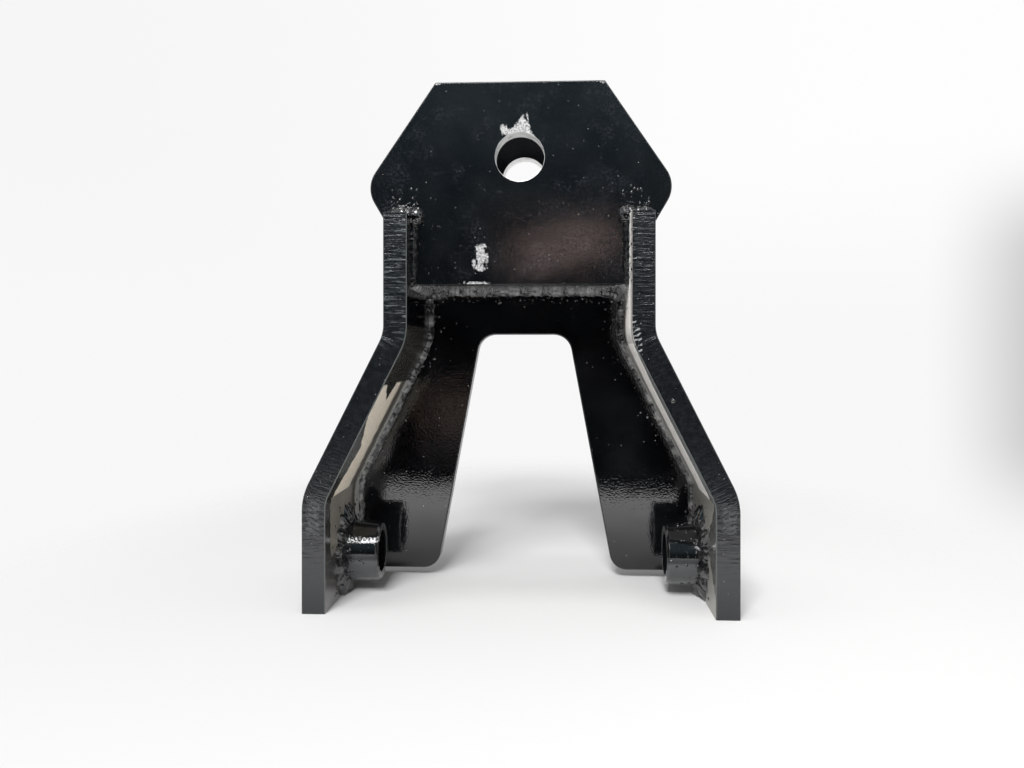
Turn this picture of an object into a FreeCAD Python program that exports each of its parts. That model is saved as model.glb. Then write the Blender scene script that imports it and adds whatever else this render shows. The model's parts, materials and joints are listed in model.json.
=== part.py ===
import FreeCAD, Part
import math
import os

# Trailer hitch: a welded clevis for the end of a drawbar. Two bent side plates carry a pivot
# bushing each at their foot, and hold a clevis of two plates with a seat plate between them.
# Millimetres, +Z up. X is across the hitch, Y runs from the front edges to the back.
# The origin lies on the standing plane, midway across and midway from front to back.

# Plate thicknesses, all five-eighths inch stock
side_thk = 15.9
head_thk = 15.9
rear_thk = 15.9
seat_thk = 15.9

# Side plates: widths between their inner faces, heights from the feet up
inner_width_top = 147.0
inner_width_bottom = 256.0
foot_height = 74.0
slant_height = 108.0
shoulder_height = 37.5
rib_height = 46.5
bend_radius = 24.0
rib_depth = 21.0
rear_lip = 8.0

# Clevis: the head plate in front, the rear plate behind, the seat plate across the throat.
# Heights run from the seat plate's underside up, each measured from the one before.
throat = 69.1
head_neck_height = 38.5
head_flare_height = 28.0
head_taper_height = 71.0
head_top_width = 115.0
head_wide_width = 211.7
head_corner_radius = 19.5
head_top_radius = 1.5

# Hitch pin hole through both clevis plates, and how far it lies above the seat's underside
hitch_pin = 31.75
hitch_clearance = 1.75
pin_rise = 86.3

# Legs of the rear plate and the arch cut between them
leg_clearance = 6.5
leg_foot_width = 60.7
arch_web_height = 33.0
arch_top_width = 67.7
arch_top_radius = 14.0
leg_corner_radius = 13.0

# Pivot bushings, set through the side plates and flush with their outer faces
bushing_od = 42.2
pivot_pin = 28.6
pivot_clearance = 0.8
bushing_reach = 26.4
bushing_y = 61.0
bushing_margin = 1.8
bushing_chamfer = 1.5

# Weld legs, and how far a bead bulges past the flat between its toes
long_leg = 5.0
head_leg = 7.0
cap_leg = 7.0
seat_leg = 4.0
throat_leg = 6.0
ring_leg = 6.5
crown = 0.8
cap_inset = 2.0

# The small bevel ground on exposed plate edges
edge_break = 0.7

# Places that follow from the sizes above
bend_top_z = foot_height + slant_height
seat_z = bend_top_z + shoulder_height
seat_top_z = seat_z + seat_thk
side_top_z = seat_z + rib_height
head_waist_z = seat_z + head_neck_height
head_wide_z = head_waist_z + head_flare_height
head_top_z = head_wide_z + head_taper_height
pin_z = seat_z + pin_rise
arch_top_z = seat_z - arch_web_height
bushing_z = bushing_od / 2 + ring_leg + bushing_margin
half_top = inner_width_top / 2
half_bottom = inner_width_bottom / 2
outer_top = half_top + side_thk
rear_gap = rib_depth + head_thk + throat
depth = rear_gap + rear_thk + rear_lip
front_y = -depth / 2
head_y = front_y + rib_depth
throat_y = head_y + head_thk
rear_y = throat_y + throat
rear_end_y = rear_y + rear_thk


def bend_normals():
    """Outward unit normals, in X and Z, of a side plate's three flats from top to bottom."""
    run = half_bottom - half_top
    drop = bend_top_z - foot_height
    length = math.hypot(run, drop)
    return [(1.0, 0.0), (drop / length, run / length), (1.0, 0.0)]


def bend_corners(offset):
    """The two bend corners, with their radii, of a line that lies offset outside the inner face."""
    slant = bend_normals()[1]
    rise = offset * (1.0 - slant[0]) / slant[1]
    upper = (half_top + offset, bend_top_z + rise, bend_radius + side_thk - offset)
    lower = (half_bottom + offset, foot_height + rise, bend_radius + offset)
    return [upper, lower]


def path_edges(corners, y):
    """Straight and tangent-arc edges through corners (x, z, radius) in the plane at y."""
    points = [FreeCAD.Vector(x, y, z) for x, z, r in corners]
    edges = []
    start = points[0]
    for before, corner, after, spec in zip(points, points[1:], points[2:], corners[1:]):
        into = (corner - before).normalize()
        away = (after - corner).normalize()
        turn = into.getAngle(away)
        if spec[2] > 0 and turn > 1e-6:
            tangent = spec[2] * math.tan(turn / 2)
            first = corner - into * tangent
            last = corner + away * tangent
            inward = (away - into).normalize()
            middle = corner + inward * spec[2] * (1 / math.cos(turn / 2) - 1)
            edges.append(Part.makeLine(start, first))
            edges.append(Part.Arc(first, middle, last).toShape())
            start = last
        else:
            edges.append(Part.makeLine(start, corner))
            start = corner
    edges.append(Part.makeLine(start, points[-1]))
    return edges


def plate(corners, y, thickness):
    """A flat plate with the given closed outline, its front face at y."""
    middle = ((corners[0][0] + corners[1][0]) / 2, (corners[0][1] + corners[1][1]) / 2, 0)
    loop = [middle] + corners[1:] + [corners[0], middle]
    face = Part.Face(Part.Wire(path_edges(loop, y)))
    return face.extrude(FreeCAD.Vector(0, thickness, 0))


def both_sides(half):
    """A closed outline from its right half, listed from top to bottom."""
    return half + [(-x, z, r) for x, z, r in reversed(half)]


def mirrored(shape):
    return shape.mirror(FreeCAD.Vector(0, 0, 0), FreeCAD.Vector(1, 0, 0))


def bore(radius, start, direction, length):
    return Part.makeCylinder(radius, length, start, direction)


def hitch_bore():
    """The tool for the hitch pin hole, long enough for both clevis plates."""
    radius = (hitch_pin + hitch_clearance) / 2
    return bore(radius, FreeCAD.Vector(0, front_y, pin_z), FreeCAD.Vector(0, 1, 0), depth)


def break_edges(shape, size, chosen):
    edges = [edge for edge in shape.Edges if chosen(edge)]
    return shape.makeChamfer(size, edges)


def lies_at_y(edge, y):
    """True for an edge in the plane at y."""
    box = edge.BoundBox
    return abs(box.YMin - y) < 1e-4 and abs(box.YMax - y) < 1e-4


def outline_edge(edge, faces_y):
    """True for an edge of a plate's outline on one of its faces, but not round the pin hole."""
    on_face = any(lies_at_y(edge, y) for y in faces_y)
    around_hole = abs(edge.BoundBox.Center.x) < 1e-4 and edge.isClosed()
    return on_face and not around_hole


def side_plate():
    """One bent plate: full depth below the seat, a narrow rib in front of the head plate above."""
    inner = [(half_top, side_top_z, 0)] + bend_corners(0) + [(half_bottom, 0, 0)]
    outer = [(outer_top, side_top_z, 0)] + bend_corners(side_thk) + [(half_bottom + side_thk, 0, 0)]
    body = plate(inner + outer[::-1], front_y, depth)
    step = Part.makeBox(2 * side_thk, depth, side_top_z)
    step.translate(FreeCAD.Vector(half_top - side_thk / 2, head_y, seat_z))
    hole = bore(bushing_od / 2, bushing_centre(half_bottom - 1), FreeCAD.Vector(1, 0, 0), side_thk + 2)
    body = body.cut(step).cut(hole)
    return break_edges(body, edge_break, front_long_edge)


def front_long_edge(edge):
    """True for the front edges that run down the plate, but not for those across its ends."""
    return lies_at_y(edge, front_y) and edge.BoundBox.ZLength > edge_break


def clevis_half(bottom):
    """The right half of the outline that both clevis plates share above the seat."""
    return [
        (head_top_width / 2, head_top_z, head_top_radius),
        (head_wide_width / 2, head_wide_z, head_corner_radius),
        (outer_top, head_waist_z, 0),
        (outer_top, bottom, 0),
    ]


def head_plate():
    body = plate(both_sides(clevis_half(seat_z)), head_y, head_thk).cut(hitch_bore())
    return break_edges(body.removeSplitter(), edge_break, free_head_edge)


def free_head_edge(edge):
    """True for the head plate's outline edges, but not for those on the seat's level."""
    return outline_edge(edge, (head_y, throat_y)) and edge.BoundBox.ZMax > seat_z + edge_break


def rear_plate():
    """The rear clevis plate, one piece with the two legs that reach down between the side plates."""
    half = clevis_half(seat_z) + [(half_top, seat_z, 0)] + bend_corners(0)
    half += [
        (half_bottom, leg_clearance, 0),
        (half_bottom - leg_foot_width, leg_clearance, leg_corner_radius),
        (arch_top_width / 2, arch_top_z, arch_top_radius),
    ]
    body = plate(both_sides(half), rear_y, rear_thk).cut(hitch_bore())
    return break_edges(body.removeSplitter(), edge_break, free_rear_edge)


def free_rear_edge(edge):
    """True for the rear plate's outline edges that no side plate covers."""
    box = edge.BoundBox
    above_seat = box.ZMax > seat_z + edge_break
    arch_side = max(abs(box.XMin), abs(box.XMax)) < half_bottom - leg_foot_width + leg_corner_radius
    in_arch = arch_side and box.ZMax < arch_top_z + edge_break
    return outline_edge(edge, (rear_y, rear_end_y)) and (above_seat or in_arch)


def seat_plate():
    """The flat plate across the side plates' steps, which closes the bottom of the throat."""
    body = Part.makeBox(2 * outer_top, throat, seat_thk)
    body.translate(FreeCAD.Vector(-outer_top, throat_y, seat_z))
    return body


def bushing_centre(x):
    return FreeCAD.Vector(x, front_y + bushing_y, bushing_z)


def bushing():
    """A tube that passes through the side plate and ends in a chamfered face inside the hitch."""
    inner_end = half_bottom - bushing_reach
    outer_end = half_bottom + side_thk
    outer = bushing_od / 2
    inner = (pivot_pin + pivot_clearance) / 2
    corners = [
        (inner_end, inner),
        (inner_end, outer - bushing_chamfer),
        (inner_end + bushing_chamfer, outer),
        (outer_end, outer),
        (outer_end, inner),
    ]
    points = [bushing_centre(x) + FreeCAD.Vector(0, 0, r) for x, r in corners]
    face = Part.Face(Part.makePolygon(points + points[:1]))
    return face.revolve(bushing_centre(0), FreeCAD.Vector(1, 0, 0), 360)


def bead_section(corner, leg_a, leg_b):
    """The section of a fillet weld: two flat legs and a face that bulges between its toes."""
    toe_a = corner + leg_a
    toe_b = corner + leg_b
    middle = (toe_a + toe_b) * 0.5
    top = middle + (middle - corner).normalize() * crown
    edges = [
        Part.makeLine(corner, toe_a),
        Part.Arc(toe_a, top, toe_b).toShape(),
        Part.makeLine(toe_b, corner),
    ]
    return Part.Wire(edges)


def flat_bead_section(corner, leg_a, leg_b):
    """The same section with the bulge as a ridge between two flats, for a bead that is revolved."""
    toe_a = corner + leg_a
    toe_b = corner + leg_b
    middle = (toe_a + toe_b) * 0.5
    ridge = middle + (middle - corner).normalize() * crown
    return Part.makePolygon([corner, toe_a, ridge, toe_b, corner])


def straight_bead(corner, leg_a, leg_b, run):
    return Part.Face(bead_section(corner, leg_a, leg_b)).extrude(run)


def long_bead(y, along_y):
    """The bead down the joint of the rear plate and a side plate, round both bends."""
    corners = [(half_top, seat_z, 0)] + bend_corners(0) + [(half_bottom, leg_clearance, 0)]
    path = Part.Wire(path_edges(corners, y))
    corner = FreeCAD.Vector(half_top, y, seat_z)
    inward = FreeCAD.Vector(-long_leg, 0, 0)
    section = bead_section(corner, inward, FreeCAD.Vector(0, along_y * long_leg, 0))
    return path.makePipeShell([section], True, False)


def weld_leg():
    return long_bead(rear_y, -1)


def weld_back():
    return long_bead(rear_end_y, 1)


def weld_head():
    """The upright bead between a rib's inner face and the head plate."""
    corner = FreeCAD.Vector(half_top, head_y, seat_z)
    run = FreeCAD.Vector(0, 0, side_top_z - seat_z)
    return straight_bead(corner, FreeCAD.Vector(-head_leg, 0, 0), FreeCAD.Vector(0, -head_leg, 0), run)


def weld_cap():
    """The bead over a rib's top end, which wraps the corner onto the upright bead."""
    corner = FreeCAD.Vector(half_top - head_leg, head_y, side_top_z)
    run = FreeCAD.Vector(head_leg + side_thk - cap_inset, 0, 0)
    return straight_bead(corner, FreeCAD.Vector(0, 0, cap_leg), FreeCAD.Vector(0, -cap_leg, 0), run)


def weld_seat_side():
    """The bead under the seat plate and the head plate's lower edge, along a side plate."""
    corner = FreeCAD.Vector(half_top, head_y, seat_z)
    run = FreeCAD.Vector(0, rear_gap - rib_depth, 0)
    bead = straight_bead(corner, FreeCAD.Vector(-long_leg, 0, 0), FreeCAD.Vector(0, 0, -long_leg), run)
    return bead.cut(weld_leg())


def weld_seat_rear():
    """The bead under the seat plate, across the front of the rear plate."""
    corner = FreeCAD.Vector(-half_top, rear_y, seat_z)
    run = FreeCAD.Vector(inner_width_top, 0, 0)
    bead = straight_bead(corner, FreeCAD.Vector(0, 0, -seat_leg), FreeCAD.Vector(0, -seat_leg, 0), run)
    for side in (weld_leg(), weld_seat_side()):
        bead = bead.cut(side).cut(mirrored(side))
    return bead


def throat_bead(y, along_y):
    """A bead on top of the seat plate, along the clevis plate whose face is at y."""
    corner = FreeCAD.Vector(cap_inset - outer_top, y, seat_top_z)
    run = FreeCAD.Vector(2 * (outer_top - cap_inset), 0, 0)
    along = FreeCAD.Vector(0, along_y * throat_leg, 0)
    return straight_bead(corner, FreeCAD.Vector(0, 0, throat_leg), along, run)


def weld_ring():
    """The bead round a bushing on the side plate's inner face."""
    corner = bushing_centre(half_bottom) + FreeCAD.Vector(0, 0, bushing_od / 2)
    section = flat_bead_section(corner, FreeCAD.Vector(-ring_leg, 0, 0), FreeCAD.Vector(0, 0, ring_leg))
    return Part.Face(section).revolve(bushing_centre(0), FreeCAD.Vector(1, 0, 0), 360)


def export(name, shape):
    assert shape.isValid() and len(shape.Solids) == 1, name
    shape.exportStep("parts/" + name + ".step")


singles = {
    "head_plate": head_plate,
    "rear_plate": rear_plate,
    "seat_plate": seat_plate,
    "weld_seat_rear": weld_seat_rear,
    "weld_throat_front": lambda: throat_bead(throat_y, 1),
    "weld_throat_rear": lambda: throat_bead(rear_y, -1),
}

pairs = {
    "side_plate": side_plate,
    "bushing": bushing,
    "weld_leg": weld_leg,
    "weld_back": weld_back,
    "weld_head": weld_head,
    "weld_cap": weld_cap,
    "weld_seat_side": weld_seat_side,
    "weld_ring": weld_ring,
}

os.makedirs("parts", exist_ok=True)

for name, make in singles.items():
    export(name, make())

for name, make in pairs.items():
    right = make()
    export(name + "_right", right)
    export(name + "_left", mirrored(right))
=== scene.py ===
import json
import math
import random

import bpy
from mathutils import Matrix, Vector


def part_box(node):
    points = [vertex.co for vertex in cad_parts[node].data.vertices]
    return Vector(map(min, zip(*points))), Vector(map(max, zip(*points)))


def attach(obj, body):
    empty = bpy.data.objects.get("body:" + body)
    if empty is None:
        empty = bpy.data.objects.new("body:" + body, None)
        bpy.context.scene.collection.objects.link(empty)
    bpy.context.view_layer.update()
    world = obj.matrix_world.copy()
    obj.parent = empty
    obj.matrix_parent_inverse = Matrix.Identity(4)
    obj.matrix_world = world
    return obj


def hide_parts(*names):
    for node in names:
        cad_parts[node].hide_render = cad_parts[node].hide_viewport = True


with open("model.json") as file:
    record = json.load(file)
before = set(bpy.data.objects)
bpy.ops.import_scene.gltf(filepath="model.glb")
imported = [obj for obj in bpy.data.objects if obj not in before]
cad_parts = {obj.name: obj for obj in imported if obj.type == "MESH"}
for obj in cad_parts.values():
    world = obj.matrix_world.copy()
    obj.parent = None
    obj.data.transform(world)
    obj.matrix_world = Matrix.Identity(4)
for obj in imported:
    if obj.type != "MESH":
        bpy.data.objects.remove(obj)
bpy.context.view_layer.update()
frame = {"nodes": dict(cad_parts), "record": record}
nodes = frame["nodes"]


# Side plates. Two strips of thick steel plate, flame cut and bent out in a press, the left one the
# mirror image of the right. They carry everything else, and are sprayed in gloss black enamel, which
# lies smooth on the rolled faces and follows the drag lines of the torch on the cut edges.
plate_thk = 0.0159
foot_top = 0.074
neck_bottom = 0.182
inner_bend = 0.024
outer_bend = inner_bend + plate_thk
side_low, side_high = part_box("side_plate_right")
foot_x = side_high.x - plate_thk
neck_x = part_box("seat_plate")[1].x - plate_thk
lean = math.atan2(foot_x - neck_x, neck_bottom - foot_top)
sides = (("right", 1), ("left", -1))

edge_ease = 0.0002
enamel_black = (0.0022, 0.0027, 0.0032, 1)
enamel_grey = (0.0060, 0.0068, 0.0075, 1)
enamel_ior = 1.6
dust_white = (0.50, 0.50, 0.48, 1)
# The tan of the left slant's film is partly its dust and partly a painted sheen.
dust_and_painted_sheen_tan = (0.95, 0.85, 0.70, 1)
film_grey = (0.55, 0.55, 0.52, 1)
film_brown = (0.100, 0.086, 0.068, 1)
film_worn = (0.045, 0.043, 0.038, 1)
peel_size = 1250
peel_depth = 0.00002


def pick(piece):
    """Selects one object alone and makes it the active one."""
    bpy.ops.object.select_all(action="DESELECT")
    piece.select_set(True)
    bpy.context.view_layer.objects.active = piece


def placed(name, mesh):
    """A new object that holds a mesh whose place is in its vertices."""
    piece = bpy.data.objects.new(name, mesh)
    bpy.context.scene.collection.objects.link(piece)
    pick(piece)
    return piece


def apply_modifier(piece, name, kind, **settings):
    """Adds a modifier, sets it and applies it."""
    modifier = piece.modifiers.new(name, kind)
    for key, value in settings.items():
        setattr(modifier, key, value)
    bpy.ops.object.modifier_apply(modifier=modifier.name)


def finished_copy(node, split=()):
    """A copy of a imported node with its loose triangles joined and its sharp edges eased. Its faces
    are divided by the planes in split, each a point and a direction, so that each stretch can take
    a paint of its own."""
    piece = placed(node + "_finished", nodes[node].data.copy())
    piece.data.materials.clear()
    bpy.ops.object.mode_set(mode="EDIT")
    bpy.ops.mesh.select_all(action="SELECT")
    bpy.ops.mesh.remove_doubles(threshold=0.000002)
    bpy.ops.mesh.dissolve_limited(angle_limit=math.radians(0.3))
    bpy.ops.mesh.customdata_custom_splitnormals_clear()
    bpy.ops.object.mode_set(mode="OBJECT")
    apply_modifier(piece, "eased edges", "BEVEL", width=edge_ease, segments=2, limit_method="ANGLE",
                   angle_limit=math.radians(30), use_clamp_overlap=False, miter_outer="MITER_ARC")
    bpy.ops.object.mode_set(mode="EDIT")
    for point, direction in split:
        bpy.ops.mesh.select_all(action="SELECT")
        bpy.ops.mesh.bisect(plane_co=point, plane_no=direction)
    bpy.ops.object.mode_set(mode="OBJECT")
    bpy.ops.object.shade_smooth_by_angle(angle=math.radians(50))
    apply_modifier(piece, "flat faces", "WEIGHTED_NORMAL", keep_sharp=True)
    return piece


def paint_faces(piece, choose, materials):
    """Gives each face the material whose name choose returns for it."""
    names = list(materials)
    for name in names:
        piece.data.materials.append(materials[name])
    for face in piece.data.polygons:
        face.material_index = names.index(choose(face))


def add(tree, kind, inputs, **settings):
    """A shader node with its settings and inputs. An input is a value or another node's output."""
    made = tree.nodes.new("ShaderNode" + kind)
    for name, value in settings.items():
        setattr(made, name, value)
    for name, value in inputs.items():
        if isinstance(value, bpy.types.NodeSocket):
            tree.links.new(value, made.inputs[name])
        else:
            made.inputs[name].default_value = value
    return made


def calc(tree, operation, *values):
    return add(tree, "Math", dict(enumerate(values)), operation=operation).outputs[0]


def ramp(tree, value, low, high, to_low=0.0, to_high=1.0):
    """The value between low and high, spread smoothly over to_low and to_high."""
    inputs = {"Value": value, "From Min": low, "From Max": high, "To Min": to_low, "To Max": to_high}
    return add(tree, "MapRange", inputs, interpolation_type="SMOOTHSTEP").outputs[0]


def blend(tree, factor, colour_a, colour_b):
    mix = add(tree, "Mix", {0: factor, 6: colour_a, 7: colour_b}, data_type="RGBA")
    return mix.outputs[2]


def noise(tree, place, scale, detail=2.0, roughness=0.5):
    inputs = {"Vector": place, "Scale": scale, "Detail": detail, "Roughness": roughness}
    return add(tree, "TexNoise", inputs).outputs[0]


def stretched(tree, place, scale):
    return add(tree, "Mapping", {"Vector": place, "Scale": scale}).outputs[0]


def empty_material(name):
    """A material with nothing in it yet. Returns the material, its tree and the place."""
    material = bpy.data.materials.new(name)
    material.use_nodes = True
    tree = material.node_tree
    tree.nodes.clear()
    return material, tree, add(tree, "TexCoord", {}).outputs["Object"]


def new_paint(name, ior=enamel_ior, **constants):
    """A material with a principled shader. Returns the material, its tree, the shader and the place."""
    material, tree, place = empty_material(name)
    shader = add(tree, "BsdfPrincipled", {"IOR": ior})
    for key, value in constants.items():
        shader.inputs[key.replace("_", " ").title()].default_value = value
    add(tree, "OutputMaterial", {"Surface": shader.outputs[0]})
    return material, tree, shader, place


def clouded(tree, place, scale, pale=enamel_grey, low=0.35, high=0.70):
    """The colour of black enamel with clouds of a paler tone in it."""
    cloud = ramp(tree, noise(tree, place, scale, detail=4.0), low, high)
    return blend(tree, cloud, enamel_black, pale)


def dusted(tree, place, colour, white=dust_white, scale=230.0, largest=0.072):
    """The colour with specks of dust that stuck in the wet paint: one in a few cells, each with its
    own size."""
    cells = add(tree, "TexVoronoi", {"Vector": place, "Scale": scale, "Randomness": 1.0})
    pick_cell = add(tree, "SeparateColor", {0: cells.outputs["Color"]})
    size = ramp(tree, pick_cell.outputs[0], 0.35, 1.0, 0.0, largest)
    return blend(tree, calc(tree, "LESS_THAN", cells.outputs["Distance"], size), colour, white)


def orange_peel(tree, place, depth=peel_depth, size=peel_size):
    """The height of sprayed enamel: a short orange peel on a long faint swell."""
    peel = noise(tree, place, size, detail=1.0)
    swell = noise(tree, place, 70.0, detail=0.0)
    return calc(tree, "MULTIPLY_ADD", peel, depth, calc(tree, "MULTIPLY", swell, depth * 1.6))


def coat(tree, shader, colour, rough, height):
    """Feeds the shader a colour, a roughness and a height in metres."""
    tree.links.new(colour, shader.inputs["Base Color"])
    tree.links.new(rough, shader.inputs["Roughness"])
    bump = add(tree, "Bump", {"Height": height, "Distance": 1.0, "Strength": 1.0})
    tree.links.new(bump.outputs[0], shader.inputs["Normal"])


def rolled_enamel(name, gloss=(0.04, 0.12), depth=peel_depth, size=peel_size, **constants):
    """Gloss enamel on a rolled plate face."""
    material, tree, shader, place = new_paint(name, **constants)
    colour = dusted(tree, place, clouded(tree, place, 28.0))
    rough = ramp(tree, noise(tree, place, 45.0, detail=5.0, roughness=0.65), 0.35, 0.75, *gloss)
    coat(tree, shader, colour, rough, orange_peel(tree, place, depth, size))
    return material


# Where the press left grooves across the cut edge, a row for each patch: its middle x and z, half its
# width and height, and the pitch and slope of its grooves.
bend_dashes = [
    (-0.1360, 0.0645, 0.0050, 0.0140, 0.0033, 0.50),
    (0.1370, 0.0650, 0.0055, 0.0105, 0.0030, -0.45),
    (0.0772, 0.1826, 0.0030, 0.0095, 0.0034, -0.40),
]
groove_share = 0.34


def dashes_on_bends(tree, place):
    """Short grooves that the press left across the cut edge where the strip is bent, and the grey patch
    of painted reflection that they lie in."""
    axes = add(tree, "SeparateXYZ", {0: place})
    stray = noise(tree, place, 300.0, detail=2.0)
    found = bend_reflection = None
    for middle_x, middle_z, half_x, half_z, pitch, slope in bend_dashes:
        x = calc(tree, "SUBTRACT", axes.outputs["X"], middle_x)
        z = calc(tree, "SUBTRACT", axes.outputs["Z"], middle_z)
        near_x = calc(tree, "SUBTRACT", 1.0, calc(tree, "DIVIDE", calc(tree, "ABSOLUTE", x), half_x))
        near_z = calc(tree, "SUBTRACT", 1.0, calc(tree, "DIVIDE", calc(tree, "ABSOLUTE", z), half_z))
        ragged = calc(tree, "SUBTRACT", stray, 0.42)
        near = calc(tree, "ADD", calc(tree, "MINIMUM", near_x, near_z), ragged)
        turn = calc(tree, "DIVIDE", calc(tree, "MULTIPLY_ADD", x, slope, z), pitch)
        turn = calc(tree, "FRACT", calc(tree, "ADD", turn, calc(tree, "MULTIPLY", stray, 1.2)))
        cut_in = calc(tree, "LESS_THAN", turn, groove_share)
        one = calc(tree, "MULTIPLY", calc(tree, "GREATER_THAN", near, 0.0), cut_in)
        found = one if found is None else calc(tree, "MAXIMUM", found, one)
        pale = ramp(tree, near, 0.0, 0.55)
        bend_reflection = pale if bend_reflection is None else calc(tree, "MAXIMUM", bend_reflection, pale)
    fade = ramp(tree, noise(tree, place, 420.0, detail=1.0), 0.36, 0.50)
    return calc(tree, "MULTIPLY", found, fade), bend_reflection


# The drag lines on the side plates' edges are deep on the foot and the neck and faint on the slant.
# Heights over which that changes, and how deep the marks on a cut edge are.
toe_fade = (0.030, 0.056)
foot_fade = (0.094, 0.070)
neck_fade = (0.165, 0.200)
mid_slant_z = 0.12
drag_depth = 0.00048
pit_depth = 0.00004
groove_depth = 0.0006
cut_black = (0.0030, 0.0040, 0.0054, 1)
cut_worn = (0.0054, 0.0072, 0.0094, 1)
cut_speck = (0.20, 0.20, 0.20, 1)
# Painted light on the cut edges: a painted highlight on the left neck's drag lines, a grey patch of
# painted reflection at the low bends, and painted shade and painted highlight in the grooves.
painted_line_highlight_grey = (0.060, 0.068, 0.072, 1)
bend_reflection_grey = (0.034, 0.038, 0.039, 1)
groove_shade = (0.0005, 0.0006, 0.0008, 1)
groove_highlight = (0.24, 0.25, 0.25, 1)


def cut_enamel(name, place_of, grain, dashed=False):
    """Enamel over a flame-cut edge: the drag lines stand across the thickness of the plate. A dashed
    edge also has grooves at its bends. Low down they are dark with painted shade and lie in a grey patch
    of painted reflection; high up they are pale with a painted highlight. Its drag lines on the left
    neck carry a painted highlight."""
    material, tree, shader, place = new_paint(name)
    along = place_of(tree, place)
    lines = noise(tree, stretched(tree, along, grain), 1.0, detail=3.0, roughness=0.6)
    pits = noise(tree, place, 700.0, detail=2.0)
    patch = ramp(tree, noise(tree, place, 230.0, detail=4.0, roughness=0.6), 0.34, 0.72)
    worn = blend(tree, patch, cut_black, cut_worn)
    colour = dusted(tree, place, worn, cut_speck, 330.0, 0.105)
    deep = calc(tree, "MULTIPLY", lines, drag_depth)
    if dashed:
        axes = add(tree, "SeparateXYZ", {0: place})
        height = axes.outputs["Z"]
        on_neck = ramp(tree, height, *neck_fade)
        left_neck = calc(tree, "MULTIPLY", calc(tree, "LESS_THAN", axes.outputs["X"], 0.0), on_neck)
        # Painted highlight: the drag lines of the left neck are painted a lighter grey.
        line_highlight = calc(tree, "MULTIPLY", ramp(tree, lines, 0.54, 0.64), left_neck)
        colour = blend(tree, line_highlight, colour, painted_line_highlight_grey)
        ends = calc(tree, "MAXIMUM", ramp(tree, height, *foot_fade), on_neck)
        deep = calc(tree, "MULTIPLY", deep, calc(tree, "MULTIPLY_ADD", ends, 0.65, 0.35))
        deep = calc(tree, "MULTIPLY", deep, ramp(tree, height, *toe_fade, 0.35, 1.0))
        grooves, bend_reflection = dashes_on_bends(tree, place)
        upper = calc(tree, "GREATER_THAN", height, mid_slant_z)
        bend_reflection = calc(tree, "MULTIPLY", bend_reflection, calc(tree, "SUBTRACT", 1.0, upper))
        # Painted reflection in the grey bend patch, then painted shade in the low grooves and a painted
        # highlight in the high ones.
        colour = blend(tree, bend_reflection, colour, bend_reflection_grey)
        stroke = blend(tree, upper, groove_shade, groove_highlight)
        colour = blend(tree, grooves, colour, stroke)
        deep = calc(tree, "MULTIPLY_ADD", grooves, -groove_depth, deep)
    rough = ramp(tree, patch, 0.0, 1.0, 0.23, 0.27)
    coat(tree, shader, colour, rough, calc(tree, "MULTIPLY_ADD", pits, pit_depth, deep))
    return material


def strip_uv(tree, place):
    return add(tree, "UVMap", {}, uv_map="strip").outputs[0]


def lay_strip_map(piece):
    """A map whose first axis runs down the bent strip and whose second runs across its thickness."""
    half = plate_thk / 2
    tilt = Vector((math.sin(lean), -math.cos(lean)))
    down = Vector((0, -1))
    corner_a = Vector((neck_x + half, neck_bottom))
    corner_b = Vector((foot_x + half, foot_top))
    legs = [(corner_a, down, 0.0), (corner_a, tilt, 0.0), (corner_b, down, (corner_b - corner_a).length)]
    layer = piece.data.uv_layers.new(name="strip")
    for loop in piece.data.loops:
        x, y, z = piece.data.vertices[loop.vertex_index].co
        spot = Vector((abs(x), z))
        before_bend = (spot - corner_a).dot(tilt + down) < 0
        after_bend = (spot - corner_b).dot(tilt + down) > 0
        start, way, run = legs[0] if before_bend else legs[2] if after_bend else legs[1]
        offset = spot - start
        layer.data[loop.index].uv = (run + offset.dot(way), offset.x * way.y - offset.y * way.x)


def bands(tree, value, stops):
    """The colour at a value, blended from each stop to the next."""
    low, high = stops[0][0], stops[-1][0]
    spread = add(tree, "MapRange", {"Value": value, "From Min": low, "From Max": high}).outputs[0]
    made = add(tree, "ValToRGB", {"Fac": spread})
    elements = made.color_ramp.elements
    for number, (at, colour) in enumerate(stops):
        part = (at - low) / (high - low)
        between = 0 < number < len(stops) - 1
        element = elements.new(part) if between else elements[0 if number == 0 else -1]
        element.position = part
        element.color = colour
    return made.outputs[0]


def film_and_painted_light_enamel(name, stops, outline=None, **constants):
    """Enamel under a film of dust and spray, in bands from the front of the plate to its weld, whose
    colours also carry painted sheen and painted shade. Each stop is a depth and the film's colour there,
    and outline says how far inside its film a point is."""
    torn_by = 0.007
    material, tree, shader, place = new_paint(name, **constants)
    axes = add(tree, "SeparateXYZ", {0: place})
    torn = noise(tree, stretched(tree, place, (170, 90, 170)), 1.0, detail=5.0, roughness=0.65)
    depth = calc(tree, "ADD", axes.outputs["Y"], calc(tree, "MULTIPLY_ADD", torn, torn_by * 2, -torn_by))
    colour = bands(tree, depth, stops)
    grit = ramp(tree, noise(tree, place, 520.0, detail=4.0, roughness=0.7), 0.30, 0.46)
    colour = blend(tree, calc(tree, "MULTIPLY_ADD", grit, 0.55, 0.45), enamel_black, colour)
    if outline:
        kept = ramp(tree, outline(tree, depth, axes.outputs["Z"]), 0.0, 0.0012)
        colour = blend(tree, kept, film_worn, colour)
    coat(tree, shader, colour, ramp(tree, colour, 0.01, 0.10, 0.08, 0.40), orange_peel(tree, place))
    return material


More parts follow.
